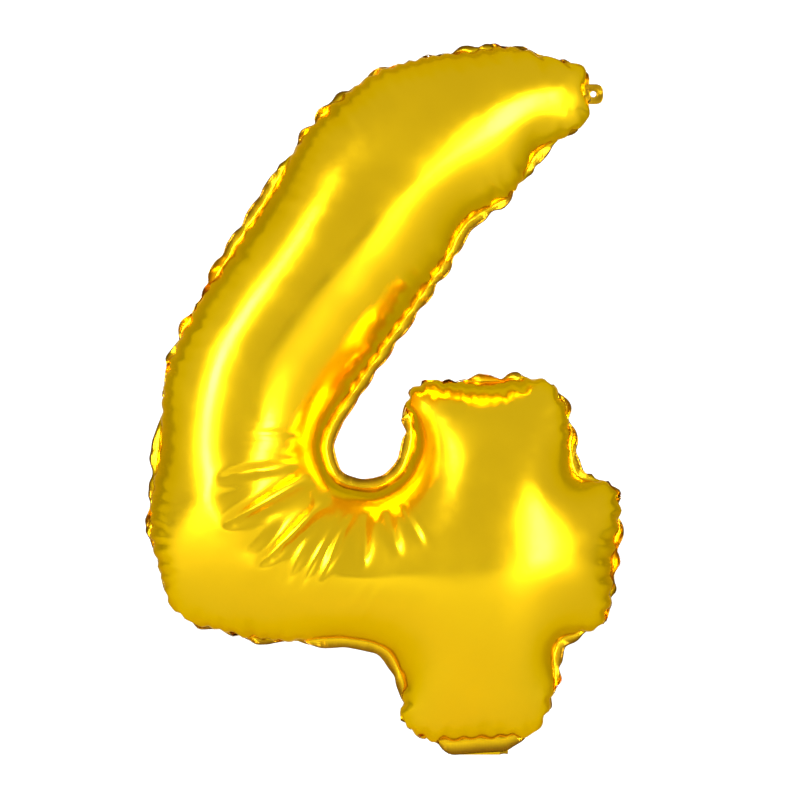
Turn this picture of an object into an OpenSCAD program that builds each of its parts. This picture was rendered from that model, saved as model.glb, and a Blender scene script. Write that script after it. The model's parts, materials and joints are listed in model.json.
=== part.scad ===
// Foil number balloon, the digit 4 with an open top, shown inflated with air.
// Two metallised film panels are welded round the digit's outline. A flat tail at the stem's foot
// holds a self-sealing valve of two clear films, and it folds up behind the balloon.
//
// Frame: the origin is the centre of the hang hole. +X is to the digit's right, +Z is up, and the
// front of the digit looks along -Y. The digit itself is laid out from its own datum, which is the
// stem's axis at the fold across the tail, and moved to the hole at the end.

/* [Digit] */
// Overall width of the digit, seams included
digit_w = 239; // [205:1:300]
// Overall height of the digit, seams included
digit_h = 355; // [300:1:430]
// Depth of the inflated body, front to back
body_d = 90; // [75:1:105]

/* [Strokes, from weld to weld] */
// Width of the upright stem
stem_w = 74; // [60:1:90]
// Height of the crossbar
bar_h = 74; // [60:1:90]
// Width of the diagonal where it is widest
diagonal_w = 92; // [76:1:110]
// How far the crossbar passes the stem's axis on the right
arm_reach = 65; // [56:1:85]
// Depth of the round bottom of the notch
notch_r = 21; // [16:0.5:26]
// Radius of the three inside corners beside the stem
fillet_r = 11; // [8:0.5:16]

/* [Film and seam] */
// Thickness of one foil film as modelled
film_t = 0.4; // [0.3:0.05:0.6]
// Width of the flat seam outside the weld
flange_w = 5; // [4:0.5:8]

/* [Hang tab] */
// Diameter of the hang hole
hole_d = 3; // [2:0.1:5]
// Width of the hang tab
tab_w = 10; // [8:0.5:14]
// Distance from the tab's root to the hole's centre
hole_out = 3.5; // [3:0.1:6]

/* [Tail and valve] */
// Width of the neck where it crosses the seam
neck_w = 40; // [34:1:46]
// Length of the neck from the weld to the fold
neck_drop = 10; // [8:0.5:14]
// Width of the tail
tail_w = 30; // [26:0.5:38]
// Length of the tail from the fold to its open end
tail_len = 58; // [48:1:62]
// Width of each weld along the tail's sides
tail_weld = 4; // [3:0.5:6]
// Thickness of one valve film as modelled
valve_t = 0.3; // [0.2:0.05:0.4]
// Length of the valve inside the balloon
valve_len = 64; // [50:1:75]

/* [Hidden] */

$fn = 64;
gold = "gold";
clear_film = "whitesmoke";

gap = 0.3;            // clearance between films that move past each other
samples = 4;          // outline samples from one station to the next
dome_rows = 5;        // rows from the weld up to the ridge
top_bow = 0.5;        // the seam's own bow past the weld at the digit's top

// The crossbar and the stem.
weld_left = arm_reach + 2 * flange_w - digit_w;
weld_top = digit_h - flange_w - top_bow;
bar_z = 0.166 * digit_h;                  // underside of the crossbar
bar_top = bar_z + bar_h;
stem_top = 0.522 * digit_h;
stub = stem_top - bar_top;                // the stem's height above the crossbar
lean = 2.5;                               // the stem leans this far to each side of its axis
upper_x = [lean - stem_w / 2, lean + stem_w / 2];
lower_x = [-lean - stem_w / 2, -lean + stem_w / 2];
corner = 5;                               // how far the strokes' square ends are eased

// A fillet's mid-point: it stands off the sharp corner by this much in X and in Z.
ease = fillet_r * (1 - cos(45));

// The diagonal, as shares: outer edge [x of weld_left, z of weld_top], the rib from there across to
// the inner edge [x, z of diagonal_w], and the half depth [of body_d / 2].
DIAGONAL = [
    [[0.991, 0.320], [0.940, 0.554], 1.00],
    [[0.982, 0.435], [1.054, 0.337], 1.00],
    [[0.933, 0.538], [1.134, 0.180], 0.99],
    [[0.863, 0.629], [1.161, 0.050], 0.97],
    [[0.768, 0.715], [1.155, -0.059], 0.93],
    [[0.652, 0.800], [1.098, -0.168], 0.87],
    [[0.512, 0.884], [1.054, -0.260], 0.80],
    [[0.348, 0.954], [0.902, -0.348], 0.70],
    [[0.146, 0.988], [0.685, -0.315], 0.56],
    [[-0.085, 1.000], [0.335, -0.300], 0.36]];
tip = [-0.284 * weld_left, 0.944 * weld_top];

function outer(k) = [DIAGONAL[k][0].x * weld_left, DIAGONAL[k][0].y * weld_top];
function inner(k) = outer(k) + DIAGONAL[k][1] * diagonal_w;

// The notch's bottom is half an ellipse from the diagonal's inner edge to the stem.
notch_rx = (upper_x[0] - inner(0).x) / 2;
notch_c = [upper_x[0] - notch_rx, bar_top + notch_r];
function notch(a) = notch_c + [notch_rx * cos(a), notch_r * sin(a)];

// Where the ridges of the four strokes start and end.
centre = [0, bar_z + bar_h / 2];
end_right = [arm_reach - bar_h / 2, centre.y];
end_up = [lean, stem_top - stem_w / 2];
end_down = [-lean, neck_drop + stem_w / 2];
cross_h = 0.98;                           // half depths at the cross and in its arms,
arm_h = 0.84;                             // as shares of body_d / 2

function middle(a, b) = (a + b) / 2;

// A station is [point on the right rail, point on the left rail, point on the ridge, half depth],
// looking out along the stroke from the cross. A stroke's last station closes its end.
RIGHT = [
    [[lower_x[1] + ease, bar_z - ease], [upper_x[1] + ease, bar_top + ease], centre, cross_h],
    [[lower_x[1] + fillet_r, bar_z], [upper_x[1] + fillet_r, bar_top],
        middle(centre, end_right), middle(cross_h, arm_h)],
    [[arm_reach - 2.2 * corner, bar_z + corner], [arm_reach - corner, bar_top - corner],
        end_right, arm_h],
    [[arm_reach - corner, bar_z + 3 * corner], [arm_reach, bar_top - 3 * corner], end_right, arm_h],
    [[arm_reach, centre.y], [arm_reach, centre.y], end_right, arm_h]];

UP = [
    [[upper_x[1] + ease, bar_top + ease], notch(-45), centre, cross_h],
    [[upper_x[1], bar_top + fillet_r], notch(0), middle(centre, end_up), middle(cross_h, arm_h)],
    [[upper_x[1], stem_top - 0.35 * stub], [upper_x[0], stem_top - 0.35 * stub], end_up, arm_h],
    [[upper_x[1] - corner, stem_top - corner], [upper_x[0] + corner, stem_top - corner],
        end_up, arm_h],
    [[lean, stem_top], [lean, stem_top], end_up, arm_h]];

LEFT = concat(
    [[notch(-45), [lower_x[0] - ease, bar_z - ease], centre, cross_h],
    [notch(-90), [notch_c.x - 6, bar_z], [notch_c.x - 3, centre.y], 0.88],
    let (a = notch(-135), b = [0.64 * weld_left, bar_z + 2]) [a, b, middle(a, b), 0.96],
    let (a = notch(-165), b = [0.915 * weld_left, bar_z + 17]) [a, b, middle(a, b), 1.00]],
    [for (k = [0:len(DIAGONAL) - 1])
        [inner(k), outer(k), middle(inner(k), outer(k)), DIAGONAL[k][2]]],
    let (k = len(DIAGONAL) - 1, s = middle(inner(k), outer(k)), h = DIAGONAL[k][2], w = tab_w / 2 + 1)
        [[tip - [1, w], tip + [-1, w], s, h], [tip, tip, s, h]]);

DOWN = [
    [[lower_x[0] - ease, bar_z - ease], [lower_x[1] + ease, bar_z - ease], centre, cross_h],
    [[lower_x[0], bar_z - fillet_r], [lower_x[1], bar_z - fillet_r],
        middle(centre, end_down), middle(cross_h, arm_h)],
    [[lower_x[0], neck_drop + 3 * corner], [lower_x[1], neck_drop + 3 * corner], end_down, arm_h],
    [[lower_x[0] + 2 * corner, neck_drop + 0.6 * corner],
        [lower_x[1] - 2 * corner, neck_drop + 0.6 * corner], end_down, arm_h],
    [[-lean, neck_drop], [-lean, neck_drop], end_down, arm_h]];

STROKES = [RIGHT, UP, LEFT, DOWN];

// Catmull-Rom curve between b and c, at t from 0 to 1.
function blend(a, b, c, d, t) =
    (2 * b + (c - a) * t + (2 * a - 5 * b + 4 * c - d) * t * t + (3 * b - a - 3 * c + d) * t * t * t) / 2;

// The weld line: every stroke's right rail outwards and its left rail back, as one closed loop.
RAIL = [for (s = STROKES) each concat(
    [for (k = [0:len(s) - 1]) s[k][0]],
    [for (k = [len(s) - 2:-1:1]) s[k][1]])];
function rail(k) = RAIL[(k + len(RAIL)) % len(RAIL)];
WELD = [for (k = [0:len(RAIL) - 1], j = [0:samples - 1])
    blend(rail(k - 1), rail(k), rail(k + 1), rail(k + 2), j / samples)];
count = len(WELD);

// The ridge point [x, z, half depth] that each weld point leans on, in the same order. Both rails of
// a stroke read the same samples, so the two sides of the dome meet.
function knot(s, k) = let (q = s[max(0, min(len(s) - 1, k))]) [q[2].x, q[2].y, q[3] * body_d / 2];
function ridge(s) = [for (k = [0:len(s) - 2], j = [0:samples - 1])
    blend(knot(s, k - 1), knot(s, k), knot(s, k + 1), knot(s, k + 2), j / samples)];
RIDGE = [for (s = STROKES) let (r = ridge(s), end = knot(s, len(s) - 1)) each concat(
    r, [end], [for (i = [len(r) - 1:-1:1]) r[i]])];

// The seam's outer edge: flange_w outside the weld, but straight at the hang tab's root and where
// the neck comes down across it to the fold.
tab_x = tip.x + flange_w;
function outward(i) =
    let (d = WELD[(i + 1) % count] - WELD[(i + count - 1) % count]) [d.y, -d.x] / norm(d);
function is_neck(p) = abs(p.x + lean) < neck_w / 2 && p.y < neck_drop + corner;
function is_tip(p) = abs(p.y - tip.y) < tab_w / 2 + 1 && p.x > tip.x - corner;
function edge(i) = let (p = WELD[i])
    is_neck(p) ? [p.x, 0] : is_tip(p) ? [tab_x, p.y] : p + outward(i) * flange_w;

// A ring of the panel, as [x, depth, z] points. u is how far in from the weld, in degrees of the
// dome's arch, and inset is how far inside the outer skin the ring lies.
function dome_ring(u, inset) = [for (i = [0:count - 1])
    let (p = WELD[i], s = RIDGE[i], r = p - [s.x, s.y], k = cos(u) * (1 - inset / norm(r)))
    [s.x + r.x * k, inset > 0 ? (s.z - inset) * sin(u) : film_t + (s.z - film_t) * sin(u), s.y + r.y * k]];
function edge_ring(depth) = [for (i = [0:count - 1]) let (q = edge(i)) [q.x, depth, q.y]];

RINGS = concat(
    [edge_ring(0), edge_ring(film_t)],
    [for (j = [0:dome_rows]) dome_ring(90 * j / dome_rows, 0)],
    [for (j = [dome_rows:-1:0]) dome_ring(90 * j / dome_rows, film_t)]);

// Triangles of the band between two rings. Where a stroke ends the ridge stands still, and the
// triangle that has no width there is left out.
function band(r, q) = [for (i = [0:count - 1])
    let (n = (i + 1) % count, a = r * count + i, b = r * count + n, c = q * count + n, d = q * count + i)
    each concat(
        RINGS[r][i] == RINGS[r][n] ? [] : [[a, c, b]],
        RINGS[q][i] == RINGS[q][n] ? [] : [[a, d, c]])];
ridge_ring = dome_rows + 2;
PANEL_FACES = concat(
    [for (r = [0:ridge_ring - 1]) each band(r, r + 1)],
    [for (r = [ridge_ring + 1:len(RINGS) - 2]) each band(r, r + 1)],
    band(len(RINGS) - 1, 0));
PANEL_POINTS = [for (r = RINGS) each r];

// Moves the digit's datum so that the hang hole is at the origin.
hole = [tab_x + hole_out, tip.y];
module placed() { translate([-hole.x, 0, -hole.y]) children(); }

// The panel whose dome faces +Y.
module panel() { placed() polyhedron(PANEL_POINTS, PANEL_FACES); }

module front_panel() { color(gold) mirror([0, 1, 0]) panel(); }

module back_panel() { color(gold) panel(); }

// Welded tab at the diagonal's tip, both films thick, with the punched hang hole.
module hang_tab() {
    color(gold) rotate([90, 0, 0]) difference() {
        union() {
            translate([-hole_out, -tab_w / 2, -film_t]) cube([hole_out, tab_w, 2 * film_t]);
            cylinder(d = tab_w, h = 2 * film_t, center = true);
        }
        cylinder(d = hole_d, h = 4 * film_t, center = true);
        translate([-hole_out - tab_w, -tab_w, -tab_w]) cube([tab_w, 2 * tab_w, 2 * tab_w]);
    }
}

// The tail curls up behind the stem's foot on an arc about this height above the datum.
tail_stack = 2 * film_t + 2 * valve_t;    // foil, valve, valve, foil
curl_r = end_down.y - 3;                  // radius of the curl at the tail's middle plane
curl_start = asin((film_t + gap) / curl_r);
curl_angle = tail_len / curl_r * 180 / PI;
valve_w = tail_w - 2 * tail_weld - 2 * gap;

// Carries a profile along the tail's curl. In the profile, x is measured outwards from the tail's
// middle plane and y is across the tail from its centre line.
module curled() {
    placed() translate([-lean, 0, curl_r]) rotate([0, 90, 0]) rotate([0, 0, curl_start])
        rotate_extrude(angle = curl_angle) translate([curl_r, 0]) children();
}

// A foil film of the tail as a channel, thicker along its sides, where it meets the other film.
module tail_film() {
    difference() {
        translate([0, -tail_w / 2]) square([tail_stack / 2, tail_w]);
        translate([-1, tail_weld - tail_w / 2]) square([1 + valve_t, tail_w - 2 * tail_weld]);
    }
}

// With the tail folded up behind, its front film lies outermost.
module tail_front_film() { color(gold) curled() tail_film(); }

module tail_back_film() { color(gold) curled() mirror([1, 0]) tail_film(); }

module tail_valve_front() {
    color(clear_film) curled() translate([0, -valve_w / 2]) square([valve_t, valve_w]);
}

module tail_valve_back() {
    color(clear_film) curled() translate([-valve_t, -valve_w / 2]) square([valve_t, valve_w]);
}

// A valve film inside the stem, standing up from just above the neck's weld.
valve_root = neck_drop + 2;
module valve_film(side) {
    depth = side > 0 ? gap / 2 : -gap / 2 - valve_t;
    color(clear_film) placed() translate([-lean - valve_w / 2, depth, valve_root])
        cube([valve_w, valve_t, valve_len]);
}

module valve_front_film() { valve_film(-1); }

module valve_back_film() { valve_film(1); }

front_panel();
back_panel();
hang_tab();
tail_front_film();
tail_back_film();
tail_valve_front();
tail_valve_back();
valve_front_film();
valve_back_film();
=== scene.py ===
"""Foil number balloon: a digit 4 with an open top, welded from two gold films and filled with air.

The two films are made as a smooth dome over the welded outline, are given the spare length that a
flat-cut film has once it is inflated, and are then relaxed as thin film under air pressure, so the
seam ruffles and the notch pulls its fan of creases. Tail, valve and hang tab are curled strips.
"""

import json

import bpy
import numpy as np
from bpy.props import (FloatProperty, FloatVectorProperty, IntProperty,
                       PointerProperty)
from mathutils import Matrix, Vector
from mathutils.geometry import delaunay_2d_cdt


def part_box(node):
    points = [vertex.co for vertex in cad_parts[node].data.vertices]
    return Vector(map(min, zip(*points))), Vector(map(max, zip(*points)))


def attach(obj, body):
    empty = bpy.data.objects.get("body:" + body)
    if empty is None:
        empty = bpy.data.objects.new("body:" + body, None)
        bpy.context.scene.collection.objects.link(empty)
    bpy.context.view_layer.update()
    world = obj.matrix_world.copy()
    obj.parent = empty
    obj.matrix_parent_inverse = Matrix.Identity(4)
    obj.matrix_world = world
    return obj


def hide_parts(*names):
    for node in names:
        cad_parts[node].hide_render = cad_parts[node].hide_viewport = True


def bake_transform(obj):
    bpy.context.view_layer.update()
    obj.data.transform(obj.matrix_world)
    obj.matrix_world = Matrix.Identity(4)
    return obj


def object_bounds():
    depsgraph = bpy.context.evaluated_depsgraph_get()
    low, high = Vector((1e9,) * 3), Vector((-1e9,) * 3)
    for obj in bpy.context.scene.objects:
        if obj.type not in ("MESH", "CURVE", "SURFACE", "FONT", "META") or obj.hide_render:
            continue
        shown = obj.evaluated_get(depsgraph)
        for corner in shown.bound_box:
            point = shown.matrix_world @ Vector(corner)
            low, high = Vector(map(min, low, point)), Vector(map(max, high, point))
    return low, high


bl_info = {
    "name": "Foil number balloon",
    "version": (1, 0, 0),
    "blender": (4, 5, 0),
    "location": "View3D > Sidebar > Balloon",
    "description": "Makes an air-filled foil digit with ruffled seams, tail, valve and hang tab",
    "category": "Add Mesh",
}

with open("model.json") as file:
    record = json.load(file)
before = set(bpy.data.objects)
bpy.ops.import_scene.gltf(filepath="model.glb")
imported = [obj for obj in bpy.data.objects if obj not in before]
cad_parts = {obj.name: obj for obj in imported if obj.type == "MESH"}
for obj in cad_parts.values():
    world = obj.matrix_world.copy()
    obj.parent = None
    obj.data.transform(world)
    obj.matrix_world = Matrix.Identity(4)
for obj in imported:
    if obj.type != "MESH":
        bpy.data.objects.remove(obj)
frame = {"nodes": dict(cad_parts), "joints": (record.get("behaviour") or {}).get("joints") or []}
CAD_BOX = [list(map(float, corner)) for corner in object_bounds()]
SHELL, TAIL = "balloon", "fill_tail"

MM = 0.001
# the fold across the tail, on the stem's axis
FOLD = np.array(next(j["pos_m"] for j in frame["joints"] if j["name"] == "tail_fold"))
STEM_LEAN = 2.5 * MM  # the stem's foot stands this far left of the digit's datum
DATUM = FOLD + [STEM_LEAN, 0, 0]  # the outline below is measured from here

# The weld line, in millimetres from the datum, anticlockwise as the digit is read.
WELD_RIGHT_ARM = [(38, 57), (47.5, 61), (58, 64), (63.5, 77), (65, 97), (67, 112), (68, 126),
                  (62, 135.5), (51, 137), (45.5, 140.5)]
WELD_STEM_TOP = [(43.5, 148.5), (43, 162), (39.5, 176), (30, 187), (2, 186), (-28, 186),
                 (-38, 177), (-35.5, 163), (-36.5, 152)]
WELD_NOTCH = [(-42, 140), (-55, 133), (-71.5, 136), (-78.5, 148.5), (-77, 162)]
WELD_INNER_EDGE = [(-64, 183), (-48.7, 204.6), (-34.5, 224.5), (-20, 245), (-8, 266),
                   (15, 281), (27, 301), (42.5, 310), (51.5, 319), (49.5, 331)]
WELD_OUTER_EDGE = [(48.5, 343), (31, 348), (12.5, 353), (-8, 350.5), (-31, 347.5), (-58, 337.5),
                   (-86.5, 312.5), (-106, 280.5), (-126, 250), (-144.5, 221), (-158, 189.5),
                   (-161.5, 155), (-166, 120), (-162, 94.5), (-152.5, 72), (-129, 61.5),
                   (-100.5, 57), (-70, 58)]
WELD_STEM_FOOT = [(-51, 54), (-43, 45), (-39.5, 34), (-40, 17.5), (-27, 7.5), (-2, 8),
                  (21.5, 10.5), (31, 19.5), (35.5, 34), (35, 48)]
WELD = (WELD_RIGHT_ARM + WELD_STEM_TOP + WELD_NOTCH + WELD_INNER_EDGE + WELD_OUTER_EDGE
        + WELD_STEM_FOOT)

NOTCH_CENTRE = np.array([-56.5, 154.0])  # middle of the notch's round bottom, from the datum
NOTCH_CREASES = (178, 192, 207, 228, 251, 265, 310)  # bearings of its creases, in degrees
NOTCH_CREASE_DEPTH = 3.0
FAN_BEARING, FAN_FULL, FAN_GONE = -122, 58, 80  # middle of the fan and its half widths, in degrees
FAN_START = 23  # the fan begins this far from the notch's centre
BAR_CREASE = np.array([-60.0, 76.0])  # middle of the short upright crease across the bar
BAR_CREASE_DEPTH = 2.0
CREASE_WIDTH = 2.5
BAR_SPARE = 0.14  # spare length gathered into the bar's crease
NECK_X = -2.5  # the neck's centre line, from the datum
TIP = np.array([49.5, 331.0])  # where the hang tab leaves the weld
STROKE_RADIUS = 40.0  # a stroke's half width, which sets how its sides turn over
DRAW_IN = 0.57  # a filling stroke's edge comes in by this share of its half width
EVEN = 1e-9  # keeps a division from meeting zero
SEED = 4

# The film's steps.
PASSES = 10  # times the edges' lengths are restored in one step
OVER_RELAX = 1.6  # each point takes its edges' mean correction this many times over
CARRY = 0.96  # share of a point's motion that is carried on to the next step
UNFOLD = 0.06  # push that opens two triangles that close up

# The filling tail: a short neck, a tight turn at the fold, then a wide arc.
TAIL_NECK, TAIL_TURN, TAIL_CURL, TAIL_LENGTH = 5 * MM, 1.0 * MM, 44 * MM, 57 * MM
TAIL_FILM = 0.1 * MM

# The hang tab.
TAB_FILM = 0.34 * MM
TAB_OVERLAP = 4.5 * MM  # the tab reaches this far in over the seam
TAB_RINGS, TAB_SIDES = 14, 72

# The stage, in metres.
STAGE_CENTRE = Vector((-0.0966, 0, -0.1529))
FLOOR_DROP = 0.045  # the floor lies this far under the balloon, so the hanging tail clears it
VIEW_WIDTH, FILM_WIDTH = 0.400, 36  # width seen at the balloon, and the camera's film in mm
LAMP_LEFT, LAMP_LEFT_SIZE = (-1.3, -0.95, 0.15), (0.25, 1.0)
LAMP_RIGHT, LAMP_RIGHT_SIZE = (1.0, -1.1, -0.1), (0.35, 0.9)


# ---------------------------------------------------------------- settings


class FoilFilmSettings(bpy.types.PropertyGroup):
    """Sizes and colours of the film."""

    spacing: FloatProperty(name="Film mesh", description="Distance between the film's points",
                           default=3.0 * MM, unit="LENGTH")
    seam: FloatProperty(name="Seam", description="Width of the flat seam outside the weld",
                        default=5.0 * MM, unit="LENGTH")
    ruffle: FloatProperty(name="Ruffle", description="Distance between two waves of the seam",
                          default=16.0 * MM, unit="LENGTH")
    thickness: FloatProperty(name="Film thickness", description="Thickness the film is drawn with",
                             default=0.15 * MM, unit="LENGTH")
    depth: FloatProperty(name="Fullness", description="Depth of the strokes, as a share of round",
                         default=0.85, subtype="FACTOR")
    spare: FloatProperty(name="Seam spare", description="Most spare length along an outer bend",
                         default=0.24, subtype="FACTOR")
    scallop: FloatProperty(name="Scallop", description="Share of the seam lost in its valleys",
                           default=0.5, subtype="FACTOR")
    fan: FloatProperty(name="Notch spare", description="Spare length round the notch's bottom",
                       default=0.22, subtype="FACTOR")
    pressure: FloatProperty(name="Pressure", description="Push of the air in each step, in mm",
                            default=0.006)
    steps: IntProperty(name="Steps", description="Steps of the inflation", default=300)
    gold: FloatVectorProperty(name="Gold", description="Colour of the lacquered film",
                              subtype="COLOR", size=3, default=(1.0, 0.645, 0.009))


class FoilTailSettings(bpy.types.PropertyGroup):
    """Sizes of the tail, the valve and the hang tab."""

    tail_width: FloatProperty(name="Tail width", description="Width of the filling tail",
                              default=30.0 * MM, unit="LENGTH")
    tail_weld: FloatProperty(name="Side weld", description="Width of the welds along the tail",
                             default=4.0 * MM, unit="LENGTH")
    hole: FloatProperty(name="Hang hole", description="Radius of the punched hang hole",
                        default=1.5 * MM, unit="LENGTH")


class FoilStageSettings(bpy.types.PropertyGroup):
    """Light, floor and camera."""

    strip_left: FloatProperty(name="Left strip", description="Power of the left strip light",
                              default=42.0, unit="POWER")
    strip_right: FloatProperty(name="Right strip", description="Power of the right strip light",
                               default=34.0, unit="POWER")
    room: FloatProperty(name="Room", description="Brightness of the pale room", default=0.62)
    lens: FloatProperty(name="Lens", description="Focal length of the camera", default=120.0,
                        subtype="DISTANCE_CAMERA")


# ---------------------------------------------------------------- plane geometry


def closed_curve(points, spacing):
    """Catmull-Rom curve through the points, walked at even steps of about the given spacing."""
    p = np.array(points, float)
    a, b, c, d = (np.roll(p, k, 0)[:, None, :] for k in (1, 0, -1, -2))
    t = np.linspace(0, 1, 24, endpoint=False)[None, :, None]
    curve = 0.5 * (2 * b + (c - a) * t + (2 * a - 5 * b + 4 * c - d) * t**2
                   + (3 * b - a - 3 * c + d) * t**3)
    ring = np.vstack([curve.reshape(-1, 2), curve[:1, 0]])
    walked = np.concatenate([[0], np.cumsum(np.linalg.norm(np.diff(ring, axis=0), axis=1))])
    stops = np.linspace(0, walked[-1], int(round(walked[-1] / spacing)), endpoint=False)
    return np.stack([np.interp(stops, walked, ring[:, k]) for k in (0, 1)], 1)


def smooth_loop(values, window):
    """Running average of a closed row of values, weighted by a raised cosine."""
    kernel = np.hanning(window + 2)[1:-1]
    kernel = kernel / kernel.sum()
    half = window // 2
    rows = values.reshape(len(values), -1)
    wrapped = np.concatenate([rows[-half:], rows, rows[:half]])
    columns = [np.convolve(wrapped[:, k], kernel, "valid") for k in range(rows.shape[1])]
    return np.stack(columns, 1).reshape(values.shape)


def outline_directions(loop):
    """Unit tangents, and the normals that point out of the digit, softened at its corners."""
    tangent = np.roll(loop, -1, 0) - np.roll(loop, 1, 0)
    tangent /= np.linalg.norm(tangent, axis=1)[:, None]
    normal = smooth_loop(np.stack([tangent[:, 1], -tangent[:, 0]], 1), 5)
    return tangent, normal / np.linalg.norm(normal, axis=1)[:, None]


def distance_to_loop(points, loop):
    """Shortest distance from each point to the closed line."""
    start = loop[None]
    along = (np.roll(loop, -1, 0) - loop)[None]
    blocks = []
    for part in np.array_split(points, max(1, len(points) // 2000)):
        from_start = part[:, None, :] - start
        t = np.clip((from_start * along).sum(2) / (along**2).sum(2), 0, 1)
        blocks.append(np.linalg.norm(from_start - t[:, :, None] * along, axis=2).min(1))
    return np.concatenate(blocks)


def inside_loop(points, loop):
    """True where a ray to the right of the point crosses the closed line an odd number of times."""
    ax, az = loop[:, 0], loop[:, 1]
    bx, bz = np.roll(ax, -1), np.roll(az, -1)
    x, z = points[:, 0, None], points[:, 1, None]
    spans = (az > z) != (bz > z)
    rise = np.where(np.abs(bz - az) < EVEN, EVEN, bz - az)
    crossing = ax + (z - az) * (bx - ax) / rise
    return (spans & (x < crossing)).sum(1) % 2 == 1


# ---------------------------------------------------------------- the film's mesh


def flat_film(weld, normal, spacing):
    """Triangles that fill the weld line: rings that bunch up towards the weld, where the inflated
    film stands steep, and an even triangular lattice over the rest."""
    arc = spacing * np.arange(1, 12)
    insets = STROKE_RADIUS * (1 - np.cos(arc / STROKE_RADIUS))
    insets = insets[insets < 3.2 * spacing]
    points = [weld]
    for inset in insets:
        ring = weld - normal * inset
        keep = inside_loop(ring, weld) & (distance_to_loop(ring, weld) > 0.93 * inset)
        points.append(ring[keep])
    step = 0.88 * spacing
    low, high = weld.min(0), weld.max(0)
    x, z = np.meshgrid(np.arange(low[0], high[0], step),
                       np.arange(low[1], high[1], step * np.sqrt(0.75)))
    x[1::2] += step / 2
    lattice = np.stack([x.ravel(), z.ravel()], 1)
    lattice = lattice[inside_loop(lattice, weld)]
    points.append(lattice[distance_to_loop(lattice, weld) > insets[-1] + 0.55 * step])
    count = len(weld)
    border = np.stack([np.arange(count), (np.arange(count) + 1) % count], 1).tolist()
    vectors = [Vector(p) for p in np.vstack(points).tolist()]
    found = delaunay_2d_cdt(vectors, border, [], 1, 1e-6)
    return np.array(found[0]), np.array(found[2])


def pillow_height(points, triangles, border):
    """Height of an inflated pillow: the square root of twice u, where u is zero on the border and
    its Laplacian is -1. On a straight stroke that is a half circle. Solved with finite elements
    and conjugate gradients."""
    n = len(points)
    p, q, r = (points[triangles[:, k]] for k in range(3))
    area = np.abs((q - p)[:, 0] * (r - p)[:, 1] - (q - p)[:, 1] * (r - p)[:, 0]) / 2
    area = np.maximum(area, 1e-6)
    first, second, weight = [], [], []
    for i, j, k in ((0, 1, 2), (1, 2, 0), (2, 0, 1)):
        u = points[triangles[:, i]] - points[triangles[:, k]]
        v = points[triangles[:, j]] - points[triangles[:, k]]
        first.append(triangles[:, i])
        second.append(triangles[:, j])
        weight.append((u * v).sum(1) / (4 * area))
    first, second, weight = map(np.concatenate, (first, second, weight))
    load = np.bincount(triangles.ravel(), np.repeat(area / 3, 3), n)
    diagonal = np.bincount(first, weight, n) + np.bincount(second, weight, n)
    free = np.ones(n)
    free[border] = 0

    def stiff(x):
        pulled = np.bincount(first, weight * x[second], n)
        pulled = pulled + np.bincount(second, weight * x[first], n)
        return free * (diagonal * x - pulled)

    x = np.zeros(n)
    residual = load * free
    scaled = residual / diagonal
    search = scaled.copy()
    energy = residual @ scaled
    for _ in range(1500):
        pushed = stiff(search)
        length = energy / (search @ pushed)
        x += length * search
        residual -= length * pushed
        scaled = free * residual / diagonal
        fresh = residual @ scaled
        if fresh < 1e-10 * (load @ load):
            break
        search = scaled + fresh / energy * search
        energy = fresh
    return np.sqrt(np.maximum(2 * x, 0))


def unique_edges(triangles):
    """Every edge once, and for each triangle side the number of its edge and its far corner."""
    sides = np.concatenate([triangles[:, [0, 1]], triangles[:, [1, 2]], triangles[:, [2, 0]]])
    far = np.concatenate([triangles[:, 2], triangles[:, 0], triangles[:, 1]])
    edges, number, uses = np.unique(np.sort(sides, axis=1), axis=0, return_inverse=True,
                                    return_counts=True)
    return edges, number.ravel(), far, uses


def facing_pairs(triangles):
    """The far corners of each two triangles that share an edge."""
    _, number, far, _ = unique_edges(triangles)
    order = np.argsort(number, kind="stable")
    shared = number[order][1:] == number[order][:-1]
    return far[order[:-1][shared]], far[order[1:][shared]]


def gather(index, rows, n):
    """Sums rows into n bins by index, one column at a time."""
    return np.stack([np.bincount(index, rows[:, k], n) for k in range(rows.shape[1])], 1)


def smooth_window(values, low, high):
    """0 below low, 1 above high, and a cubic ease between."""
    t = np.clip((values - low) / (high - low), 0, 1)
    return t * t * (3 - 2 * t)


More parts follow.
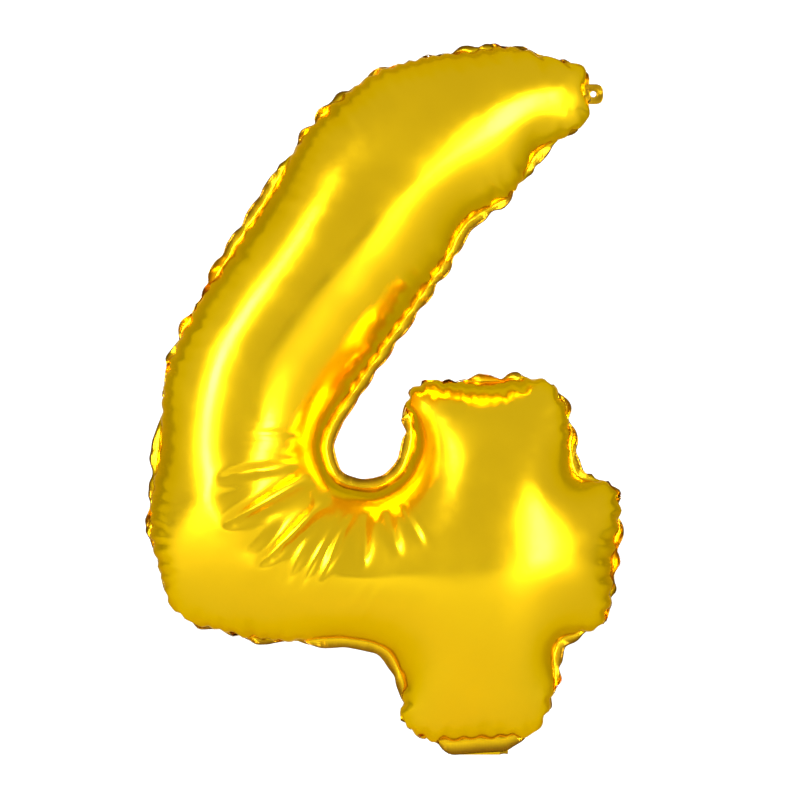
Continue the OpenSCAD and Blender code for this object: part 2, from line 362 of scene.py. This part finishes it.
class Envelope:
    """The two films and their seam in millimetres from the datum, as one closed body."""

    def __init__(self, film):
        spacing = film.spacing / MM
        self.weld = closed_curve(WELD, spacing)
        self.tangent, self.normal = outline_directions(self.weld)
        flat, cells = flat_film(self.weld, self.normal, spacing)
        n, total = len(self.weld), len(flat)
        height = film.depth * pillow_height(flat, cells, np.arange(n))
        self.ring, self.body_end = n, 2 * total - n
        front = np.stack([flat[:, 0], -height, flat[:, 1]], 1)
        back = front[n:] * [1, -1, 1]
        neck = 1 - smooth_window(np.abs(self.weld[:, 0] - NECK_X), 14, 20)
        self.neck = neck * (self.weld[:, 1] < 20)
        by_tab = 1 - smooth_window(np.linalg.norm(self.weld - TIP, axis=1), 3, 8)
        self.held = np.maximum(self.neck, by_tab)
        self.spare, self.wave = self.seam_spare(film)
        reach = film.seam / MM + 2.5 * self.neck - 1.6 * by_tab
        seams = []
        for share in (0.5, 1.0):
            width = reach * share * (1 - share * film.scallop * self.pinch)
            line = self.weld + self.normal * width[:, None]
            seams.append(np.stack([line[:, 0], np.zeros(n), line[:, 1]], 1))
        self.points = np.vstack([front, back] + seams)
        swap = np.concatenate([np.arange(n), total + np.arange(total - n)])
        first, second, third = (front[cells[:, k]] for k in range(3))
        turn = np.cross(second - first, third - first)
        self.front = cells if turn[:, 1].sum() < 0 else cells[:, ::-1]
        self.back = swap[self.front][:, ::-1]
        self.seam = self.seam_strips()

    def seam_rows(self):
        """Numbers of the points on the weld, the seam's middle and its edge."""
        i = np.arange(self.ring)
        return i, self.body_end + i, self.body_end + self.ring + i

    def seam_strips(self):
        """Triangles of the flat seam, facing the front."""
        strips = []
        rows = self.seam_rows()
        for inner, outer in zip(rows[:-1], rows[1:]):
            ahead_in, ahead_out = np.roll(inner, -1), np.roll(outer, -1)
            strips += [np.stack([inner, outer, ahead_out], 1),
                       np.stack([inner, ahead_out, ahead_in], 1)]
        return np.concatenate(strips)

    def seam_spare(self, film):
        """Along an outer bend the seam is drawn in as the stroke fills, so its spare length is how
        far it is drawn in times the bend, and a straight seam keeps a little. It stands in waves a
        ruffle apart, whose phase wanders; the seam is narrowest in the valleys between waves."""
        random = np.random.default_rng(SEED)
        n = self.ring
        step = np.linalg.norm(np.roll(self.weld, -1, 0) - self.weld, axis=1).mean()
        heading = np.unwrap(np.arctan2(self.tangent[:, 1], self.tangent[:, 0]))
        turning = np.diff(np.append(heading, heading[0] + 2 * np.pi)) / step
        bend = smooth_loop(turning, 15)
        least = 0.012 + 0.03 * smooth_window(bend, -0.004, 0.0)
        spare = smooth_loop(np.clip(DRAW_IN * STROKE_RADIUS * bend, least, film.spare), 13)
        wander = smooth_loop(random.normal(0, 1, n), 31)
        wander *= 2.2 / np.abs(wander).max()
        phase = 2 * np.pi * np.arange(n) * step / (film.ruffle / MM) + wander
        size = np.clip(spare / 0.06, 0.15, 1) * (1 - self.held)
        self.pinch = size * (0.5 - 0.5 * np.sin(phase))**3
        return spare, size * np.sin(phase)

    def spare_length(self, film, ends, length):
        """How much longer each edge of the flat-cut film is than it lies on the smooth dome: the
        seam's spare, dying away up the film's side, a fan of film round the notch, where the
        crossbar's length is gathered up, and a little across the bar's own crease."""
        middle = self.points[ends].mean(1)
        run = (self.points[ends[:, 1]] - self.points[ends[:, 0]])[:, [0, 2]]
        plan = middle[:, [0, 2]]
        nearest = np.concatenate([np.linalg.norm(part[:, None] - self.weld[None], axis=2).argmin(1)
                                  for part in np.array_split(plan, 20)])
        share = 1 - 2 / np.pi * np.arcsin(np.clip(np.abs(middle[:, 1]) / STROKE_RADIUS, 0, 1))
        fade = (share * np.pi / 2 - np.sin(share * np.pi / 2)) / (np.pi / 2 - 1)
        on_seam = ends.max(1) >= self.body_end
        fade[on_seam] = 1
        lengthwise = (run * self.tangent[nearest]).sum(1)**2 / length**2
        spare = self.spare[nearest] * fade * lengthwise
        arm = plan - NOTCH_CENTRE
        radius = np.linalg.norm(arm, axis=1)
        around = (arm[:, 0] * run[:, 1] - arm[:, 1] * run[:, 0])**2 / (radius * length)**2
        bearing = np.degrees(np.arctan2(arm[:, 1], arm[:, 0]))
        off = np.abs((bearing - FAN_BEARING + 180) % 360 - 180)
        in_fan = 1 - smooth_window(off, FAN_FULL, FAN_GONE)
        in_fan = in_fan * np.clip((radius - FAN_START) / 12, 0, 1)
        end = 60 + 24 * (1 - smooth_window(np.abs(bearing + 145), 20, 60))
        in_fan = in_fan * np.clip((end - radius) / 26, 0, 1)
        from_bar = plan - BAR_CREASE
        beside, above = from_bar[:, 0], np.abs(from_bar[:, 1])
        pinch = np.exp(-(beside / 8)**2) * (1 - smooth_window(above, 8, 17))
        spare += BAR_SPARE * pinch * (run[:, 0] / length)**2 * ~on_seam
        return spare + film.fan * in_fan * around * ~on_seam

    def seed_ruffles(self):
        """Starts the seam in its waves, which front and back share, unsettles the film a little so
        that it can buckle, and presses in the creases that run out from the notch and the one
        across the bar: bell-shaped grooves, as deep on the front film as on the back one."""
        random = np.random.default_rng(SEED)
        for row, size in zip(self.seam_rows(), (0.2, 0.9, 2.2)):
            self.points[row, 1] += size * self.wave
        self.points += random.normal(0, 0.05, self.points.shape)
        arm = self.points[:, [0, 2]] - NOTCH_CENTRE
        radius, bearing = np.linalg.norm(arm, axis=1), np.arctan2(arm[:, 1], arm[:, 0])
        near = np.clip((radius - FAN_START) / 15, 0, 1) * np.clip((80 - radius) / 20, 0, 1)
        valley = np.zeros(len(radius))
        for crease in np.radians(NOTCH_CREASES):
            off = (bearing - crease + np.pi) % (2 * np.pi) - np.pi
            valley = np.maximum(valley, np.exp(-(off * radius / CREASE_WIDTH)**2))
        self.points[:, 1] -= NOTCH_CREASE_DEPTH * near * valley * np.sign(self.points[:, 1])
        from_bar = self.points[:, [0, 2]] - BAR_CREASE
        beside, above = from_bar[:, 0], np.abs(from_bar[:, 1])
        dent = np.exp(-(beside / CREASE_WIDTH)**2) * (1 - smooth_window(above, 6, 15))
        self.points[:, 1] -= BAR_CREASE_DEPTH * dent * np.sign(self.points[:, 1])

    def inflate(self, film, steps):
        """Position-based film: each step carries the points on, pushes them out along the film's
        normals, and then restores every edge's length in a few damped passes. A fold is opened a
        little where two neighbouring triangles close up. The seam may ruffle, but its running
        average stays on the outline."""
        triangles = np.concatenate([self.front, self.back, self.seam])
        skin = np.concatenate([self.front, self.back])
        edges = unique_edges(triangles)[0]
        a, b = edges[:, 0], edges[:, 1]
        length = np.linalg.norm(self.points[b] - self.points[a], axis=1)
        rest = length * (1 + self.spare_length(film, edges, length))
        c, d = facing_pairs(triangles)
        open_width = np.linalg.norm(self.points[d] - self.points[c], axis=1)
        n = len(self.points)
        pull = OVER_RELAX / np.maximum(np.bincount(edges.ravel(), minlength=n), 1)[:, None]
        target = self.points.copy()
        held = self.held[:, None]
        window = int(18 / (film.spacing / MM)) | 1
        self.seed_ruffles()
        x, last = self.points, self.points.copy()
        for _ in range(steps):
            side = x[skin]
            face = np.cross(side[:, 1] - side[:, 0], side[:, 2] - side[:, 0])
            out = gather(skin.ravel(), np.repeat(face, 3, axis=0), n)
            out /= np.maximum(np.linalg.norm(out, axis=1), EVEN)[:, None]
            x, last = x + CARRY * (x - last) + film.pressure * out, x
            for turn in range(PASSES):
                gap = x[b] - x[a]
                now = np.sqrt((gap * gap).sum(1))
                fix = gap * (0.5 * (now - rest) / np.maximum(now, EVEN))[:, None]
                x = x + pull * (gather(a, fix, n) - gather(b, fix, n))
                if turn % 3 == 2:
                    gap = x[d] - x[c]
                    now = np.sqrt((gap * gap).sum(1))
                    short = np.minimum(0.5 * (now - open_width) / np.maximum(now, EVEN), 0)
                    fix = gap * (UNFOLD * short)[:, None]
                    x = x + gather(c, fix, n) - gather(d, fix, n)
            drift = 0.5 * smooth_loop(target[:self.ring] - x[:self.ring], window)
            for row in self.seam_rows():
                x[row] += drift
                x[row] += held * (target[row] - x[row])
        self.points = x


def loop_subdivide(points, triangles, crease, values):
    """One step of Loop subdivision. An inner edge gets 3/8 of its ends and 1/8 of its far corners;
    a border or crease edge gets its middle, and points on one follow only that line."""
    n = len(points)
    edges, number, far, uses = unique_edges(triangles)
    a, b = edges[:, 0], edges[:, 1]
    hard = (uses == 1) | (crease[a] & crease[b])
    wings = gather(number, points[far], len(edges))
    middle = (points[a] + points[b]) / 2
    soft_middle = 0.375 * (points[a] + points[b]) + 0.125 * wings
    middle = np.where(hard[:, None], middle, soft_middle)
    ends = np.concatenate([a, b])
    others = points[np.concatenate([b, a])]
    valence = np.bincount(ends, minlength=n)
    ring_sum = gather(ends, others, n)
    beta = 3 / (8 * np.maximum(valence, 3))
    moved = points * (1 - valence * beta)[:, None] + ring_sum * beta[:, None]
    hard_ends = np.concatenate([a[hard], b[hard]])
    hard_others = points[np.concatenate([b[hard], a[hard]])]
    hard_count = np.bincount(hard_ends, minlength=n)
    along = 0.75 * points + 0.125 * gather(hard_ends, hard_others, n)
    moved = np.where((hard_count == 2)[:, None], along, moved)
    moved = np.where((hard_count > 2)[:, None], points, moved)
    e0, e1, e2 = (n + part for part in np.split(number, 3))
    t0, t1, t2 = triangles.T
    finer = np.concatenate([np.stack(c, 1) for c in ((t0, e0, e2), (t1, e1, e0), (t2, e2, e1),
                                                      (e0, e1, e2))])
    new_values = np.concatenate([values, (values[a] + values[b]) / 2])
    new_crease = np.append(crease, hard & crease[a] & crease[b])
    return np.vstack([moved, middle]), finer, new_crease, new_values


# ---------------------------------------------------------------- meshes and materials


def to_row(points):
    """Millimetres from the datum to metres in the row frame."""
    return np.asarray(points) * MM + DATUM


def new_piece(name, points, faces, materials):
    """A smooth mesh piece from its points in the row frame and its faces."""
    mesh = bpy.data.meshes.new(name)
    mesh.from_pydata(points.tolist(), [], faces.tolist())
    mesh.validate()
    mesh.shade_smooth()
    for material in materials:
        mesh.materials.append(material)
    piece = bpy.data.objects.new(name, mesh)
    bpy.context.scene.collection.objects.link(piece)
    return piece


def thicken(piece, thickness):
    """Gives a film its thickness on its outer side; its inner side and cut rim take slot 1."""
    wall = piece.modifiers.new("film", "SOLIDIFY")
    wall.thickness = thickness
    wall.offset = 1
    wall.material_offset = 1
    wall.material_offset_rim = 1
    return wall


def grid_faces(rows, columns, wrap=False):
    """Quads of a grid of points stored row by row; wrap joins the last column to the first."""
    last = columns if wrap else columns - 1
    i, j = np.meshgrid(np.arange(rows - 1), np.arange(last), indexing="ij")
    k = (j + 1) % columns
    corners = (i * columns + j, i * columns + k, (i + 1) * columns + k, (i + 1) * columns + j)
    return np.stack([c.ravel() for c in corners], 1)


class Finish:
    """A node material: makes nodes by type, and links values into their sockets or sets them."""

    def __init__(self, name):
        self.material = bpy.data.materials.new(name)
        self.material.use_nodes = True
        self.tree = self.material.node_tree
        self.shader = self.tree.nodes["Principled BSDF"]
        self.object = self.node("ShaderNodeTexCoord").outputs["Object"]

    def node(self, kind, **settings):
        made = self.tree.nodes.new(kind)
        for key, value in settings.items():
            setattr(made, key, value)
        return made

    def put(self, socket, value):
        if isinstance(value, bpy.types.NodeSocket):
            self.tree.links.new(value, socket)
        else:
            socket.default_value = value

    def math(self, operation, *values):
        made = self.node("ShaderNodeMath", operation=operation)
        for socket, value in zip(made.inputs, values):
            self.put(socket, value)
        return made.outputs[0]

    def noise(self, scale, detail=3.0, stretch=(1, 1, 1)):
        place = self.node("ShaderNodeMapping")
        self.put(place.inputs["Vector"], self.object)
        place.inputs["Scale"].default_value = stretch
        made = self.node("ShaderNodeTexNoise")
        self.put(made.inputs["Vector"], place.outputs[0])
        made.inputs["Scale"].default_value = scale
        made.inputs["Detail"].default_value = detail
        return made.outputs[0]

    def remap(self, value, low, high, to_low, to_high):
        made = self.node("ShaderNodeMapRange", interpolation_type="SMOOTHSTEP")
        for socket, item in zip(made.inputs, (value, low, high, to_low, to_high)):
            self.put(socket, item)
        return made.outputs[0]

    def two_colours(self, share, first, second):
        return self.blend_colours(share, (*first, 1), (*second, 1))

    def blend_colours(self, share, first, second):
        made = self.node("ShaderNodeMix", data_type="RGBA")
        for name, value in (("Factor_Float", share), ("A_Color", first), ("B_Color", second)):
            self.put(next(s for s in made.inputs if s.identifier == name), value)
        return next(s for s in made.outputs if s.identifier == "Result_Color")

    def bump(self, height, distance, strength, under=None):
        made = self.node("ShaderNodeBump")
        self.put(made.inputs["Height"], height)
        made.inputs["Distance"].default_value = distance
        made.inputs["Strength"].default_value = strength
        if under is not None:
            self.put(made.inputs["Normal"], under)
        return made.outputs[0]

    def set(self, **sockets):
        for name, value in sockets.items():
            self.put(self.shader.inputs[name.replace("_", " ")], value)
        return self.material


def gold_film(gold):
    """Gold-lacquered metallised film: bright and even, with a soft crinkle of a few millimetres, a
    little drift in colour, and a rougher seam pressed with a fine crossed knurl, whose colour is
    painted darker, to brown, towards its outer edge as painted shade."""
    look = Finish("gold_metallised_film")
    place = look.node("ShaderNodeSeparateXYZ")
    look.put(place.inputs[0], look.object)
    out = look.node("ShaderNodeAttribute", attribute_name="seam_out").outputs["Fac"]
    on_seam = look.remap(out, 0.2, 0.9, 0.0, 1.0)
    pitch = 2 * np.pi / (1.5 * MM)
    waves = []
    for slant in ("ADD", "SUBTRACT"):
        slope = look.math(slant, place.outputs[0], place.outputs[2])
        waves.append(look.math("SINE", look.math("MULTIPLY", slope, pitch)))
    knurl = look.math("MULTIPLY", look.math("MULTIPLY", *waves), on_seam)
    crinkle = look.bump(look.noise(110, 4), 0.25 * MM, 0.35)
    crinkle = look.bump(look.noise(420, 2), 0.06 * MM, 0.25, crinkle)
    pressed = look.bump(knurl, 0.06 * MM, 0.5, crinkle)
    drift = look.remap(look.noise(11, 2), 0.3, 0.7, 0.0, 1.0)
    deep = tuple(np.array(gold) * (0.95, 0.93, 0.9))
    colour = look.two_colours(drift, deep, tuple(gold))
    # painted shade: the seam's colour is darkened to brown towards its outer edge, following
    # seam_out
    seam_painted_shade = look.two_colours(drift, (0.20, 0.085, 0.004), (0.30, 0.14, 0.006))
    colour = look.blend_colours(look.remap(out, 0.4, 4.2, 0.0, 0.95), colour, seam_painted_shade)
    rough = look.math("ADD", look.remap(look.noise(38, 3), 0.3, 0.7, 0.17, 0.25),
                      look.math("MULTIPLY", on_seam, 0.09))
    return look.set(Base_Color=colour, Metallic=1.0, Roughness=rough, Normal=pressed,
                    Specular_Tint=(1.0, 0.7, 0.12, 1))


def silver_film():
    """The film's bare inner side and cut edge: satin metallised plastic."""
    look = Finish("silver_film_inside")
    colour = look.two_colours(look.noise(60, 3), (0.62, 0.63, 0.65), (0.78, 0.79, 0.8))
    rough = look.remap(look.noise(90, 3), 0.3, 0.7, 0.3, 0.42)
    return look.set(Base_Color=colour, Metallic=1.0, Roughness=rough,
                    Normal=look.bump(look.noise(240, 3), 0.1 * MM, 0.3))


def valve_film():
    """Thin milky polyethylene, faintly drawn along its length, which lets light through."""
    look = Finish("milky_valve_film")
    drawn = look.noise(160, 4, (4, 0.5, 0.5))
    colour = look.two_colours(drawn, (0.78, 0.82, 0.84), (0.92, 0.94, 0.95))
    rough = look.remap(drawn, 0.3, 0.7, 0.18, 0.34)
    return look.set(Base_Color=colour, Roughness=rough, IOR=1.5, Alpha=0.55,
                    Normal=look.bump(drawn, 0.15 * MM, 0.4))


def studio_paper():
    """Matt pale paper that looks plain white to the camera without lighting the film."""
    look = Finish("studio_paper")
    grain = look.noise(30, 4)
    colour = look.two_colours(grain, (0.52, 0.52, 0.52), (0.54, 0.54, 0.54))
    seen = look.node("ShaderNodeLightPath").outputs["Is Camera Ray"]
    return look.set(Base_Color=colour, Roughness=0.9, Emission_Color=(1, 1, 1, 1),
                    Emission_Strength=look.math("MULTIPLY", seen, 0.75))


def finish_named(name, make, *values):
    """The material of that name, made once."""
    return bpy.data.materials.get(name) or make(*values)


# ---------------------------------------------------------------- pieces


class BALLOON_OT_foil_body(bpy.types.Operator):
    """Make the two foil films: inflate them, then give each its own side of the seam"""

    bl_idname = "balloon.foil_body"
    bl_label = "Foil Body"

    def execute(self, context):
        film = context.scene.foil_film
        envelope = Envelope(film)
        # seam_out: how far out a point lies across the seam, negative inside; the gold material
        # knurls and roughens the seam by it, and paints it darker brown outward as painted shade
        inset = distance_to_loop(envelope.points[:, [0, 2]], envelope.weld)
        out = -np.minimum(inset, 12.0)
        weld, middle, edge = envelope.seam_rows()
        out[middle], out[edge] = film.seam / MM / 2, film.seam / MM
        out[weld] = 0
        envelope.inflate(film, film.steps)
        gold = finish_named("gold_metallised_film", gold_film, film.gold)
        silver = finish_named("silver_film_inside", silver_film)
        crease = np.zeros(len(envelope.points), bool)
        crease[weld] = True
        sides = (("front_foil", "front_panel", envelope.front, envelope.seam),
                 ("back_foil", "back_panel", envelope.back, envelope.seam[:, ::-1]))
        for name, node, dome, seam in sides:
            used, faces = np.unique(np.concatenate([dome, seam]), return_inverse=True)
            faces = faces.reshape(-1, 3)
            points, faces, _, values = loop_subdivide(envelope.points[used], faces, crease[used],
                                                      out[used])
            piece = new_piece(name, to_row(points), faces, [gold, silver])
            attribute = piece.data.attributes.new("seam_out", "FLOAT", "POINT")
            attribute.data.foreach_set("value", values.astype(np.float32))
            thicken(piece, film.thickness)
            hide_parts(node)
            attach(piece, SHELL)
        context.scene["seam_edge"] = envelope.points[edge].ravel().tolist()
        return {"FINISHED"}


class BALLOON_OT_hang_tab(bpy.types.Operator):
    """Make the small punched tab that the balloon hangs by, at the seam by the tip"""

    bl_idname = "balloon.hang_tab"
    bl_label = "Hang Tab"

    def execute(self, context):
        """Rings run from the hole's edge to the tab's rounded edge, in the row frame, whose origin
        is the hole's centre. Towards the balloon the tab takes the height of the seam beside it."""
        tail = context.scene.foil_tail
        if "seam_edge" not in context.scene:
            raise RuntimeError("the foil body is made before the hang tab")
        seam = to_row(np.array(context.scene["seam_edge"]).reshape(-1, 3))
        low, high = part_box("hang_tab")
        half, inner = (high.z - low.z) / 2, -low.x + TAB_OVERLAP
        beside = np.linalg.norm(seam[:, [0, 2]] - [low.x + 1.5 * MM, 0], axis=1) < 4 * MM
        seam_y = seam[beside, 1].mean() if beside.any() else 0.0
        angle = np.linspace(0, 2 * np.pi, TAB_SIDES, endpoint=False)[None]
        share = (np.linspace(0, 1, TAB_RINGS)**0.8)[:, None]
        reach_x = np.where(np.cos(angle) < 0, inner, high.x)
        edge = ((np.abs(np.cos(angle)) / reach_x)**3 + (np.abs(np.sin(angle)) / half)**3)**(-1 / 3)
        radius = tail.hole + (edge - tail.hole) * share
        x, z = radius * np.cos(angle), radius * np.sin(angle)
        lean = smooth_window(-x, 0, inner)
        wave = 0.35 * MM * np.sin(z / half * 4.4 + 0.6) * smooth_window(radius, 2.2 * MM, half)
        punched = -0.12 * MM * np.exp(-((radius - tail.hole) / (0.35 * MM))**2)
        y = seam_y * lean + wave + punched
        points = np.stack([x, y, z], 2).reshape(-1, 3)
        faces = grid_faces(TAB_RINGS, TAB_SIDES, wrap=True)
        gold = bpy.data.materials["gold_metallised_film"]
        silver = bpy.data.materials["silver_film_inside"]
        piece = new_piece("hang_tab_foil", points, faces, [gold, silver])
        attribute = piece.data.attributes.new("seam_out", "FLOAT", "POINT")
        # 3.0 on seam_out knurls the tab and paints it most of the way to the seam's brown painted
        # shade
        attribute.data.foreach_set("value", np.full(len(points), 3.0, np.float32))
        wall = thicken(piece, TAB_FILM)
        wall.offset = 0
        wall.material_offset = 0
        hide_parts("hang_tab")
        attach(piece, SHELL)
        return {"FINISHED"}


class BALLOON_OT_filling_tail(bpy.types.Operator):
    """Make the two films of the filling tail, welded along their sides and open at the end"""

    bl_idname = "balloon.filling_tail"
    bl_label = "Filling Tail"

    def execute(self, context):
        """The tail's middle line runs down out of the neck, turns through a tight quarter circle at
        the fold, and goes on along a wide arc. Each film stands off it: almost nothing in the side
        welds, the valve's thickness between them, and a little more at the open mouth."""
        tail = context.scene.foil_tail
        low, high = (np.array(corner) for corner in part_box("tail_front_film"))
        curl, turn = TAIL_CURL, TAIL_TURN
        start = np.arcsin(turn / curl)
        down = np.linspace(0, 1, 7)[:-1, None]
        bend = np.linspace(0, np.pi / 2, 9)[:-1, None]
        wide = np.linspace(start, start + TAIL_LENGTH / curl, 70)[:, None]
        neck = np.hstack([0 * down, TAIL_NECK * (1 - down) + turn * down])
        fold = np.hstack([turn * (1 - np.cos(bend)), turn * (1 - np.sin(bend))])
        arc = np.hstack([curl * np.sin(wide), curl * (1 - np.cos(wide))])
        line = np.vstack([neck, fold, arc])
        step = np.gradient(line, axis=0)
        step /= np.linalg.norm(step, axis=1)[:, None]
        outside = np.stack([step[:, 1], -step[:, 0]], 1)
        walked = np.append(0, np.cumsum(np.linalg.norm(np.diff(line, axis=0), axis=1)))
        half = tail.tail_width / 2
        channel = half - tail.tail_weld
        u = np.linspace(-1, 1, 61)[None]
        x = half * u
        along = walked[:, None]
        past_fold = smooth_window(along, 4.2 * MM, 5.6 * MM)
        mouth = smooth_window(along, walked[-1] - 16 * MM, walked[-1])
        within = 1 - smooth_window(np.abs(x), channel - 0.2 * MM, channel + 0.9 * MM)
        swell = np.cos(np.clip(x / channel, -1, 1) * np.pi / 2)**2
        stand_off = 0.02 * MM + past_fold * within * (0.36 * MM + mouth * swell * 1.3 * MM)
        crimp = 0.45 * MM * np.sin(along / (7.5 * MM) * 2 * np.pi + np.sign(x) * 1.1)
        crimp = crimp * past_fold * smooth_window(np.abs(x), channel + 0.8 * MM, half)
        centre_x = (low[0] + high[0]) / 2
        gold = bpy.data.materials["gold_metallised_film"]
        silver = bpy.data.materials["silver_film_inside"]
        sides = (("tail_front_foil", "tail_front_film", 1),
                 ("tail_back_foil", "tail_back_film", -1))
        for name, node, side in sides:
            off = side * stand_off + crimp
            y = line[:, 0, None] + outside[:, 0, None] * off
            z = line[:, 1, None] + outside[:, 1, None] * off
            across = np.broadcast_to(centre_x + x, y.shape)
            points = np.stack([across, FOLD[1] + y, FOLD[2] + z], 2).reshape(-1, 3)
            faces = grid_faces(len(line), u.shape[1])
            faces = faces[:, ::-1] if side > 0 else faces
            piece = new_piece(name, points, faces, [gold, silver])
            # The side welds take 3.0 on seam_out: they are knurled, and painted towards the seam's
            # brown painted shade
            sealed = (np.abs(x) > channel) * 3.0 + 0 * along
            attribute = piece.data.attributes.new("seam_out", "FLOAT", "POINT")
            attribute.data.foreach_set("value", sealed.ravel().astype(np.float32))
            thicken(piece, TAIL_FILM)
            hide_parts(node)
            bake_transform(piece)
        return {"FINISHED"}


class BALLOON_OT_valve_films(bpy.types.Operator):
    """Give the four stretches of valve film their milky plastic"""

    bl_idname = "balloon.valve_films"
    bl_label = "Valve Films"

    def execute(self, context):
        milky = finish_named("milky_valve_film", valve_film)
        for name in ("valve_front_film", "valve_back_film", "tail_valve_front", "tail_valve_back"):
            node = frame["nodes"][name]
            for place in node.material_slots:
                place.material = milky
        return {"FINISHED"}


class BALLOON_OT_stage(bpy.types.Operator):
    """Make the white sweep, the soft lights and the camera"""

    bl_idname = "balloon.stage"
    bl_label = "Stage"

    def execute(self, context):
        """The sweep is a floor that rises behind on a quarter circle. The camera looks straight on.
        The world is white to the camera and dimmer to the film."""
        stage = context.scene.foil_stage
        ground = CAD_BOX[0][2] - FLOOR_DROP
        bend = np.linspace(0, np.pi / 2, 25)
        depth = np.concatenate([[-3.0], 1.2 + 0.9 * np.sin(bend), [2.1]])
        height = np.concatenate([[0.0], 0.9 * (1 - np.cos(bend)), [3.2]])
        across = np.array([-4.0, 4.0])
        points = np.stack([np.repeat(across[None], len(depth), 0), np.repeat(depth[:, None], 2, 1),
                           ground + np.repeat(height[:, None], 2, 1)], 2).reshape(-1, 3)
        paper = finish_named("studio_paper", studio_paper)
        mesh = bpy.data.meshes.new("sweep")
        mesh.from_pydata(points.tolist(), [], grid_faces(len(depth), 2).tolist())
        mesh.shade_smooth()
        mesh.materials.append(paper)
        sweep = bpy.data.objects.new("sweep", mesh)
        context.scene.collection.objects.link(sweep)
        world = bpy.data.worlds.new("studio")
        context.scene.world = world
        world.use_nodes = True
        sky = world.node_tree.nodes["Background"]
        sky.inputs["Color"].default_value = (1, 1, 1, 1)
        path = world.node_tree.nodes.new("ShaderNodeLightPath")
        level = world.node_tree.nodes.new("ShaderNodeMapRange")
        level.inputs["To Min"].default_value = stage.room
        level.inputs["To Max"].default_value = 1.0
        world.node_tree.links.new(path.outputs["Is Camera Ray"], level.inputs["Value"])
        world.node_tree.links.new(level.outputs[0], sky.inputs["Strength"])
        lights = (("strip_left", LAMP_LEFT, LAMP_LEFT_SIZE, stage.strip_left),
                  ("strip_right", LAMP_RIGHT, LAMP_RIGHT_SIZE, stage.strip_right))
        for name, place, (width, tall), power in lights:
            lamp = bpy.data.lights.new(name, "AREA")
            lamp.shape = "RECTANGLE"
            lamp.size, lamp.size_y, lamp.energy = width, tall, power
            holder = bpy.data.objects.new(name, lamp)
            holder.location = place
            aim = STAGE_CENTRE - Vector(place)
            holder.rotation_euler = aim.to_track_quat("-Z", "Y").to_euler()
            context.scene.collection.objects.link(holder)
        camera = bpy.data.cameras.new("camera")
        camera.lens = stage.lens
        eye = bpy.data.objects.new("camera", camera)
        away = VIEW_WIDTH * stage.lens / FILM_WIDTH
        eye.location = STAGE_CENTRE + Vector((0, -away, 0))
        eye.rotation_euler = (np.pi / 2, 0, 0)
        context.scene.collection.objects.link(eye)
        context.scene.camera = eye
        context.scene.view_settings.view_transform = "Standard"
        return {"FINISHED"}


class BALLOON_PT_panel(bpy.types.Panel):
    """The balloon's operators and settings"""

    bl_idname = "BALLOON_PT_panel"
    bl_label = "Foil Balloon"
    bl_space_type = "VIEW_3D"
    bl_region_type = "UI"
    bl_category = "Balloon"

    def draw(self, context):
        layout = self.layout
        for step in OPERATORS:
            layout.operator(step.bl_idname)
        for group in (context.scene.foil_film, context.scene.foil_tail, context.scene.foil_stage):
            box = layout.box()
            for name in group.__annotations__:
                box.prop(group, name)


SETTINGS = {"foil_film": FoilFilmSettings, "foil_tail": FoilTailSettings,
            "foil_stage": FoilStageSettings}
OPERATORS = (BALLOON_OT_foil_body, BALLOON_OT_hang_tab, BALLOON_OT_filling_tail,
             BALLOON_OT_valve_films, BALLOON_OT_stage)


def register():
    for made in (*SETTINGS.values(), *OPERATORS, BALLOON_PT_panel):
        bpy.utils.register_class(made)
    for name, group in SETTINGS.items():
        setattr(bpy.types.Scene, name, PointerProperty(type=group))


def unregister():
    for name in SETTINGS:
        delattr(bpy.types.Scene, name)
    for made in reversed((*SETTINGS.values(), *OPERATORS, BALLOON_PT_panel)):
        bpy.utils.unregister_class(made)


def main():
    """Makes every piece and the stage."""
    register()
    bpy.ops.balloon.foil_body()
    bpy.ops.balloon.hang_tab()
    bpy.ops.balloon.filling_tail()
    bpy.ops.balloon.valve_films()
    bpy.ops.balloon.stage()


if __name__ == "__main__":
    main()
